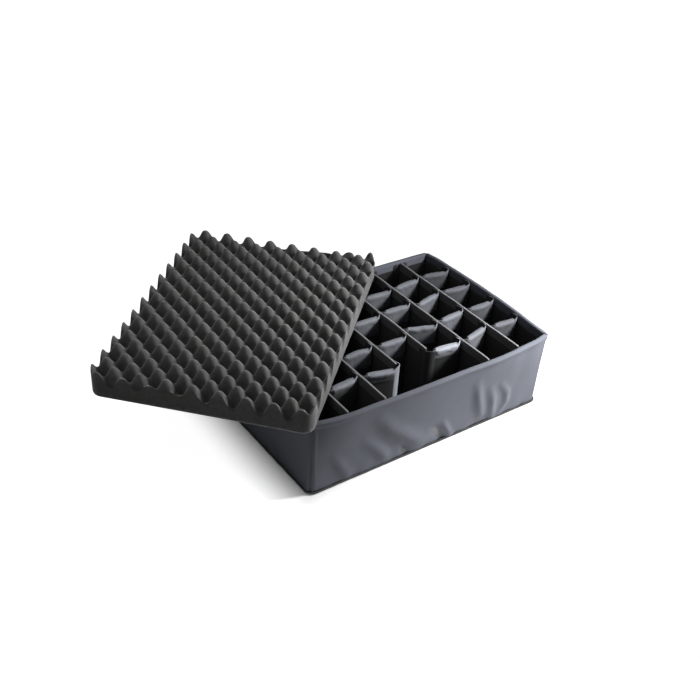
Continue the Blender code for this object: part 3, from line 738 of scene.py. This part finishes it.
def makeShortDivider(column, row):
    # The plan outline is stacked from the floor to the crown. A band of smooth nylon is sewn round the top: a small
    # step at its lower edge, a stitched groove at the seam, and above it a soft roll that closes like half a cylinder
    node = f"short_divider_c{column}_r{row}"
    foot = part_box(node)[0].z
    size = dict(shortDivider, **variants.get((column, row), {}))
    seed = 96 + 4 * column + row
    draw = np.random.default_rng(seed)
    reach, endX = longDivider["half"] + tray["gap"], tray["length"] / 2 - tray["wall"] - tray["gap"]
    tabExtra = 2 * reach + size["tab"]
    claspLeft, claspRight = (column, row) == (5, 1), (column, row) == (3, 1)
    lowX = -endX if column == 1 else longX(column - 1) + reach
    highX = endX if column == 7 else longX(column) - reach
    middle, halfSpan = (lowX + highX) / 2, (highX - lowX) / 2
    inner = halfSpan - size["setback"]
    centreY = tray["wall"] - tray["depth"] / 2 + row * size["rowPitch"]
    top, half, crown, puff = size["top"], size["core"] / 2, size["crown"], size["puff"]
    seam, band = top - size["seam"], top - size["band"]
    # Rows stand closer at the band's lower edge and at the seam
    lift = np.r_[foot, foot + 0.0010, np.linspace(0.015, band - 0.003, 8), band - 0.0008, band, band + 0.0004,
                 band + 0.003, seam - 0.0012, seam - 0.0005, seam, seam + 0.0005, seam + 0.0013, seam + 0.0026,
                 top - crown + crown * np.sin(np.linspace(0, np.pi / 2, 9))]
    crownShare = clamp((lift - (top - crown)) / crown)
    drawnIn = (half + puff) * 0.90 * (1 - np.sqrt(clamp(1 - crownShare ** 2)))
    onBand = (lift > band + 0.0002) * 1.0
    proud = 0.0004 * onBand + puff * np.sin(clamp((lift - seam) / (top - seam)) * np.pi / 2) ** 0.7
    proud = proud - 0.6 * puff * np.exp(-(((lift - seam) / 0.0005) ** 2))
    plan = []
    for lean in leanAt(lift):
        left, right = halfSpan - (lean if column == 1 else 0), halfSpan - (lean if column == 7 else 0)
        leftOuter, rightOuter = left + (tabExtra if claspLeft else 0), right + (tabExtra if claspRight else 0)
        xs, ys, weights, part = dividerOutline(left - size["setback"], right - size["setback"], leftOuter,
                                               rightOuter, size)
        plan.append(np.stack([xs, ys], 1))
    plan = np.array(plan)
    x, y = plan[:, :, 0], plan[:, :, 1]
    z = np.broadcast_to(lift[:, None], x.shape)
    core, sign = weights[None, :], np.sign(y)
    girth = walkAlong(plan[0, :, 0], plan[0, :, 1])
    spread = clamp(1 - (x / inner) ** 2) * (core > 0.9)
    y = y + sign * core * proud[:, None]
    # Slow unevenness on the faces, short sewing wrinkles above the seam
    wrinkled = np.clip((z - band) / 0.006, 0.06, 1)
    slack = size["slack"] * spread * ripple(x + 0.3 * seed, z, seed, 0.030)
    puckers = size["wrinkle"] * wrinkled * ripple(x, z * 1.6, seed + 3, 0.007)
    y = y + sign * core * (slack + puckers)
    y = y - sign * core * np.minimum(drawnIn[:, None], np.abs(y) * 0.90)
    y = y + size["bow"] * draw.uniform(-1, 1) * spread
    # The right end of the crown stands up as a horn where its tab turns off, and the left end is tucked down
    side = x / halfSpan
    leftOff, rightOff = endOffsets.get((column, row), (0, 0))
    shift = leftOff + (rightOff - leftOff) * clamp((x + inner) / (2 * inner))
    horn = clamp((side - 0.60) / 0.32) ** 2 * size["horn"] * draw.uniform(0.7, 1.1)
    tuck = clamp((-side - 0.60) / 0.32) ** 2 * size["dip"] * draw.uniform(0.5, 1.2)
    along = clamp(y / (half + size["reach"]))
    uneven = size["uneven"] * ripple(x, x * 0 + seed, seed + 5, 0.022) * core
    z = z + (horn * (1 - along) - tuck - 0.0012 * along + uneven) * clamp((z - 0.09) / 0.03)
    if column == 7:  # the right end follows the swollen wall
        follows = clamp((side - 0.55) / 0.3)
        x = x + follows * swellAt("right", centreY + y + shift, lift[:, None])
    points = np.stack([middle + x, centreY + y + shift, z], -1)
    # Painted light on the band: the crown is made lighter than the faces as a painted highlight, and on crowned
    # dividers the band below the seam is made less light as painted shade
    crownHighlightShare = clamp((lift - (top - crown - 0.001)) / 0.002)
    light = onBand * (size["faceLight"] + (size["crownPaintedHighlight"] - size["faceLight"]) * crownHighlightShare)
    light = (light * np.where(lift < seam, size["belowSeamPaintedShade"], 1))[:, None]
    # The left clasping strip is painted nearly black as shade, where it faces away from the light; the right one has
    # the band's light colour
    leftPaintedShade, rightLight = size["claspLights"]
    strip = np.where(plan[0, :, 0] > 0, rightLight if claspRight else light, leftPaintedShade if claspLeft else light)
    banded = np.where(part == 2, strip, np.where(part == 3, 0.0, light))
    piece = surfacePiece(f"paddedDividerC{column}R{row}", points, padCloth, node, ends=2, along=lift,
                         across=np.append(girth, girth[-1] + 0.001), values={"band": banded})


for column in range(1, 8):
    for row in range(1, 5):
        if f"short_divider_c{column}_r{row}" in bodyOf:
            makeShortDivider(column, row)
print("short dividers made")


# The sheet's corner lies pastLeft and pastFront outside the tray's. Its rows and files of peaks are skewed and stand
# closer by the shares closerRight and closerLeft. Behind lastRow only low foam is left.
eggCrate = dict(width=0.300, length=0.425, thickness=0.040, web=0.018, corner=0.016, spacing=0.02569,
                fromSide=0.0145, fromEnd=-0.0035, rowSkew=math.radians(-4.15), fileSkew=math.radians(-0.71),
                turn=math.radians(-47.1), pastLeft=0.0117, pastFront=0.0181, sharpness=1.4, closerRight=0.0121,
                closerLeft=0.0562, lastRow=0.4175, lastRowBack=0.012, lastRowFade=0.004, thinner=0.42, step=0.0021,
                wallShares=(0.78, 0.55, 0.32, 0.1), easing=((0.0008, 0.0003), (0.0018, 0.0)), uneven=0.0006)


def eggHeight(x, y):
    # Each foam peak is a product of two cosines along the skewed rows, s. The share s^k / (s^k + (1 - s)^k) makes the
    # flanks steep between a round top and a round valley. The rows stand a little closer towards the left back
    e = eggCrate
    half = e["spacing"] / math.sqrt(2)
    closer = 1 + e["closerRight"] - (e["closerLeft"] - e["closerRight"]) * x / e["width"]
    u, v = x + e["fromSide"], (y - e["fromEnd"]) * closer
    a, b = math.cos(e["rowSkew"]), -math.sin(e["fileSkew"])
    c, d = math.sin(e["rowSkew"]), math.cos(e["fileSkew"])
    det = (a * d - b * c) * half
    i, j = (u * d - v * b) / det, (v * a - u * c) / det
    crown = (1 + np.cos(np.pi * i) * np.cos(np.pi * j)) / 2
    steep, rest = crown ** e["sharpness"], (1 - crown) ** e["sharpness"]
    shape = steep / (steep + rest)
    # Behind the last row only its valley stands, thinner towards the left; at the right end the row goes on
    goesOn = e["lastRowBack"] * (1 + x / e["width"]) ** 6
    past = clamp((y - e["lastRow"] - goesOn) / e["lastRowFade"])
    shape = shape * (1 - 0.9 * past)
    uneven = e["uneven"] * ripple(x, y, 77, 0.03) * shape
    thinner = 1 + e["thinner"] * past * x / e["width"]
    return (e["web"] + (e["thickness"] - e["web"]) * shape + uneven) * thinner, shape


def roundedGrid(width, length, corner, step):
    # A grid over the sheet whose corner squares are bent to quarter discs
    u = np.linspace(-width, 0, round(width / step) + 1)
    v = np.linspace(0, length, round(length / step) + 1)
    x, y = np.meshgrid(u, v, indexing="ij")
    middleX, middleY = -width / 2, length / 2
    straightX, straightY = width / 2 - corner, length / 2 - corner
    dx, dy = x - middleX, y - middleY
    pastX, pastY = np.clip(np.abs(dx) - straightX, 0, None), np.clip(np.abs(dy) - straightY, 0, None)
    reach = np.hypot(pastX, pastY)
    scale = np.where(reach > 1e-9, np.maximum(pastX, pastY) / np.maximum(reach, 1e-9), 1)
    x = middleX + np.sign(dx) * (np.minimum(np.abs(dx), straightX) + pastX * scale)
    y = middleY + np.sign(dy) * (np.minimum(np.abs(dy), straightY) + pastY * scale)
    return x, y


def makeEggCrate():
    # The grid lifted to the foam's height; rings drop straight from its rim as shares of that height, the last two
    # draw in to ease the lower edge, and one face closes the underside
    e = eggCrate
    x, y = roundedGrid(e["width"], e["length"], e["corner"], e["step"])
    z, tip = eggHeight(x, y)
    z = np.minimum(z, e["thickness"] + e["uneven"])
    rows, columns = x.shape
    top = np.stack([x, y, z], -1).reshape(-1, 3)
    index = np.arange(rows * columns).reshape(rows, columns)
    rim = np.r_[index[:, 0], index[-1, 1:], index[-2::-1, -1], index[0, -2:0:-1]]
    edge = top[rim]
    walls = [edge * (1, 1, share) for share in e["wallShares"]]
    toward = np.array([-e["width"] / 2, e["length"] / 2]) - edge[:, :2]
    toward = toward / np.linalg.norm(toward, axis=1)[:, None]
    for inwards, height in e["easing"]:
        walls.append(np.column_stack([edge[:, :2] + toward * inwards, np.full(len(edge), height)]))
    points = np.concatenate([top] + walls)
    row, column = gridCells(rows, columns, False)
    faces = (row * columns + column).tolist()
    rings = [rim] + [rows * columns + k * len(rim) + np.arange(len(rim)) for k in range(len(walls))]
    for upper, lower in zip(rings, rings[1:]):
        faces += np.stack([upper, lower, np.roll(lower, -1), np.roll(upper, -1)], 1).tolist()
    faces.append(rings[-1][::-1].tolist())
    # The cut sides get a tip value that grows with height: painted shade towards the underside
    sides = [clamp(ring[:, 2] / e["thickness"]) * 0.25 + 0.45 for ring in walls]
    px, py = turned(e["turn"], points[:, 0], points[:, 1])
    px, py = px - tray["length"] / 2 - e["pastLeft"], py - tray["depth"] / 2 - e["pastFront"]
    placed = np.stack([px, py, points[:, 2] + (rimZ + tray["gap"])], 1)
    mesh = bpy.data.meshes.new("eggCrateSheet")
    mesh.from_pydata(placed.tolist(), [], faces)
    addValues(mesh, {"tip": np.concatenate([tip.ravel()] + sides)})
    faceOutwards(mesh)
    piece = finishPiece("eggCrateSheet", mesh, eggFoam, 58, "egg_crate_pad")


makeEggCrate()
print("egg-crate foam made")


# glow is the floor's own white where it is seen, which comes in over the stretch around the tray's foot; closer in,
# the floor is left dim as painted shade round the foot
studio = dict(floorHalf=9.0, floorZ=-0.0004, floorColour=(0.9, 0.9, 0.9, 1), glow=0.96, paintedShadeFrom=-0.02, paintedShadeTo=0.07,
              surroundLight=0.05)


def makeFloor():
    # Seen by the camera, in gloss or through glass, the floor is a white backdrop that keeps the shadows, and is
    # painted dim close to the tray's foot as shade
    s, z = studio["floorHalf"], studio["floorZ"]
    mesh = bpy.data.meshes.new("studioFloor")
    mesh.from_pydata([(-s, -s, z), (s, -s, z), (s, s, z), (-s, s, z)], [], [(0, 1, 2, 3)])
    floor = bpy.data.objects.new("studioFloor", mesh)
    bpy.context.scene.collection.objects.link(floor)
    material, tree, shader = newMaterial("paleFloor", 0.9, 0.0, 0.5, 0.5)
    shader.inputs["Base Color"].default_value = studio["floorColour"]
    # How far outside the tray's foot a point is: the length of what its x and y stand beyond the half sides
    place = addNode(tree, "TexCoord").outputs["Object"]
    parts = addNode(tree, "SeparateXYZ", {0: place}).outputs
    squares = []
    for part, half in zip(parts, (tray["length"] / 2, tray["depth"] / 2)):
        beyond = mathNode(tree, "MAXIMUM", mathNode(tree, "SUBTRACT", mathNode(tree, "ABSOLUTE", part), half))
        squares.append(mathNode(tree, "MULTIPLY", beyond, beyond))
    away = mathNode(tree, "SQRT", mathNode(tree, "ADD", *squares))
    # The glow fades in from the foot outwards: painted shade on the floor round the tray
    wide = addNode(tree, "MapRange", {0: away, 1: studio["paintedShadeFrom"], 2: studio["paintedShadeTo"], 4: studio["glow"]},
                   interpolation_type="SMOOTHSTEP").outputs[0]
    strength = mathNode(tree, "MULTIPLY", seenRays(tree), wide)
    glow = addNode(tree, "Emission", {"Color": (1, 1, 1, 1), "Strength": strength})
    both = addNode(tree, "AddShader", {0: shader.outputs[0], 1: glow.outputs[0]})
    tree.links.new(both.outputs[0], tree.nodes["Material Output"].inputs["Surface"])
    mesh.materials.append(material)


def makeWorld():
    # A white surround where it is seen, and hardly any light from it
    world = bpy.data.worlds.new("studioWorld")
    bpy.context.scene.world = world
    world.use_nodes = True
    tree = world.node_tree
    background = tree.nodes["Background"]
    background.inputs["Color"].default_value = (1, 1, 1, 1)
    strength = mathNode(tree, "MAXIMUM", seenRays(tree), studio["surroundLight"])
    tree.links.new(strength, background.inputs["Strength"])


def stand(name, data, place, right, up, back):
    # A lamp or camera stands at its place on its own three axes, and looks against the third
    thing = bpy.data.objects.new(name, data)
    bpy.context.scene.collection.objects.link(thing)
    axes = Matrix(np.column_stack([right, up, back]).tolist()).to_4x4()
    axes.translation = place
    thing.matrix_world = axes
    return thing


lamps = dict(
    topSoftbox=dict(place=(-0.45, 0.05, 1.0), target=(-0.28, 0.12, 0.16), size=(0.6, 0.6), power=0.37, spread=64),
    keySoftbox=dict(place=(0.46, -0.32, 0.42), target=(0.06, -0.09, 0.08), size=(0.14, 0.13), power=2.2, spread=88))


def addLamp(name, place, target, size, power, spread):
    lamp = bpy.data.lights.new(name, "AREA")
    lamp.spread = math.radians(spread)
    lamp.shape = "RECTANGLE"
    lamp.size, lamp.size_y = size
    lamp.energy = power
    away = np.array(place) - np.array(target)
    back = away / np.linalg.norm(away)
    right = np.cross([0, 0, 1], back)
    right /= np.linalg.norm(right)
    stand(name, lamp, place, right, np.cross(back, right), back)


photoCamera = dict(lens=50.9, place=(-0.77975, -0.9601, 0.9131), azimuth=-37.311, elevation=34.064, roll=4.032)


def makeCamera(lens, place, azimuth, elevation, roll):
    az, el, tilt = math.radians(azimuth), math.radians(elevation), math.radians(roll)
    back = np.array([math.sin(az) * math.cos(el), -math.cos(az) * math.cos(el), math.sin(el)])
    level = np.array([math.cos(az), math.sin(az), 0.0])
    rise = np.cross(back, level)
    right = level * math.cos(tilt) + rise * math.sin(tilt)
    up = -level * math.sin(tilt) + rise * math.cos(tilt)
    camera = bpy.data.cameras.new("photoCamera")
    camera.lens = lens
    camera.sensor_width = 36
    bpy.context.scene.camera = stand("photoCamera", camera, place, right, up, back)


makeFloor()
makeWorld()
for name, settings in lamps.items():
    addLamp(name, **settings)
makeCamera(**photoCamera)
bpy.context.scene.view_settings.view_transform = "Standard"
print("studio made")

print("scene done")
